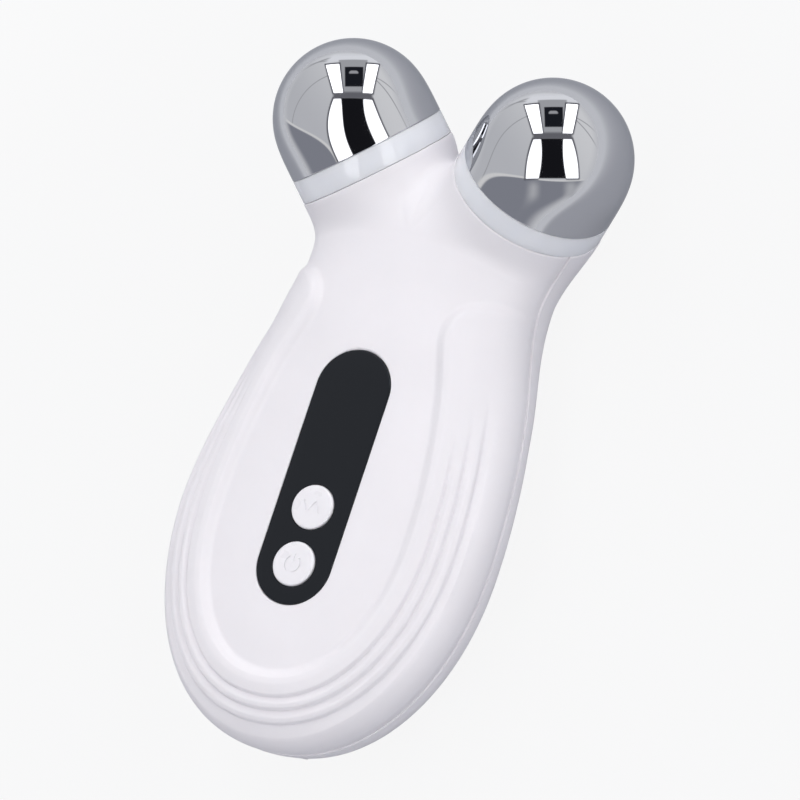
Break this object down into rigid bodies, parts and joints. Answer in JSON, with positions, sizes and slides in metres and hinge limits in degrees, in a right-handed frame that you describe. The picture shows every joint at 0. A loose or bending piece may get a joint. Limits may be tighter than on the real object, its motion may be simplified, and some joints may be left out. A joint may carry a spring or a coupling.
{
  "type": "facial toning device",
  "caption": "Hand-held facial toning device with two splayed chrome electrode domes on light rings, a raised U-shaped grip band and two push buttons in a dark pill panel.",
  "frame": {"origin": "centre of the flat rest area under the back, on the table", "axes": "+X to the device's right as its face is seen with the domes up, +Y from the tail towards the domes, +Z out of the control panel"},
  "size_m": [0.0602, 0.1096, 0.0322],
  "materials": {
    "shell": "satin moulded ABS",
    "panel": "gloss, smoked acrylic",
    "button": "satin",
    "switch_body": "moulded",
    "plunger": "moulded",
    "board": "glass-fibre laminate",
    "chip": "moulded",
    "inductor": "ferrite",
    "can": "sleeved can",
    "socket": "nylon",
    "led": "clear",
    "baffle": "moulded",
    "steel": "plated",
    "cell": "foil pouch",
    "foam": "foam",
    "lead": "silicone sleeve",
    "chrome": "mirror plated",
    "ring": "frosted translucent",
    "core": "moulded"
  },
  "bodies": {
    "housing": {"front_shell": "shell", "rear_shell": "shell", "control_panel": "panel", "mode_switch": "switch_body", "power_switch": "switch_body", "main_board": "board", "controller_chip": "chip", "boost_inductor": "inductor", "capacitors": "can", "wire_sockets": "socket", "indicator_leds": "led", "light_baffle": "baffle", "board_screws": "steel", "case_screws": "steel", "battery": "cell", "battery_pad": "foam", "battery_leads": "lead", "charge_board": "board", "usb_socket": "steel", "charge_leads": "lead", "left_dome": "chrome", "right_dome": "chrome", "left_light_ring": "ring", "right_light_ring": "ring", "left_head_core": "core", "right_head_core": "core", "left_ring_board": "board", "right_ring_board": "board", "left_core_clip": "steel", "right_core_clip": "steel", "left_dome_screw": "steel", "right_dome_screw": "steel", "left_electrode_wire": "lead", "right_electrode_wire": "lead"},
    "mode_key": {"mode_button": "button", "mode_switch_plunger": "plunger"},
    "power_key": {"power_button": "button", "power_switch_plunger": "plunger"}
  },
  "joints": [
    {"name": "mode_press", "type": "slide", "parent": "housing", "child": "mode_key", "axis": [0, 0, -1], "range_m": [0, 0.0003], "stiffness_N_per_m": 1200, "springref_m": -0.0002},
    {"name": "power_press", "type": "slide", "parent": "housing", "child": "power_key", "axis": [0, 0, -1], "range_m": [0, 0.0003], "stiffness_N_per_m": 1200, "springref_m": -0.0002}
  ]
}
